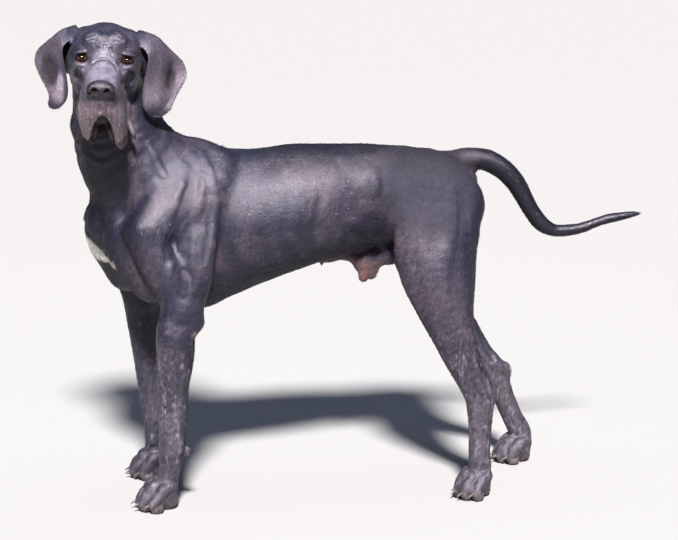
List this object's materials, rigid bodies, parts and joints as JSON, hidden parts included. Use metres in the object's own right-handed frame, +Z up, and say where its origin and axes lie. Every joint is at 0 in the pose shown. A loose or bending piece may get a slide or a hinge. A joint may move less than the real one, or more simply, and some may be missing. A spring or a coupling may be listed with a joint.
{
  "type": "great dane figure",
  "caption": "Life-size still figure of a smooth, blue-black great dane standing on all fours, head turned to its left, ears hanging, tail curved out behind.",
  "frame": {"origin": "on the floor, below the middle of the model's box", "axes": "+Z up; the dog faces -X with its tail towards +X; its left side, which the head turns to, is towards -Y"},
  "size_m": [1.4062, 0.4882, 1.1035],
  "materials": {
    "coat": "short, flat, glossy blue-black hair, with a small white patch on the breast",
    "ear_coat": "very short, soft, dark hair",
    "eye": "wet, brown",
    "claw": "pale horn"
  },
  "bodies": {
    "root": {"head": "coat", "neck": "coat", "trunk": "coat", "tail_1": "coat", "tail_2": "coat", "tail_3": "coat", "foreleg_left_arm": "coat", "foreleg_left_wrist": "coat", "foreleg_left_paw": "coat", "hindleg_left_thigh": "coat", "hindleg_left_shank": "coat", "hindleg_left_hock": "coat", "hindleg_left_paw": "coat", "foreleg_right_arm": "coat", "foreleg_right_wrist": "coat", "foreleg_right_paw": "coat", "hindleg_right_thigh": "coat", "hindleg_right_shank": "coat", "hindleg_right_hock": "coat", "hindleg_right_paw": "coat", "ear_left": "ear_coat", "ear_right": "ear_coat", "eye_left": "eye", "eye_right": "eye", "claw_foreleg_left_inner": "claw", "claw_foreleg_left_mid_in": "claw", "claw_foreleg_left_mid_out": "claw", "claw_foreleg_left_outer": "claw", "claw_foreleg_left_dewclaw": "claw", "claw_foreleg_right_inner": "claw", "claw_foreleg_right_mid_in": "claw", "claw_foreleg_right_mid_out": "claw", "claw_foreleg_right_outer": "claw", "claw_foreleg_right_dewclaw": "claw", "claw_hindleg_left_inner": "claw", "claw_hindleg_left_mid_in": "claw", "claw_hindleg_left_mid_out": "claw", "claw_hindleg_left_outer": "claw", "claw_hindleg_right_inner": "claw", "claw_hindleg_right_mid_in": "claw", "claw_hindleg_right_mid_out": "claw", "claw_hindleg_right_outer": "claw"}
  },
  "joints": []
}
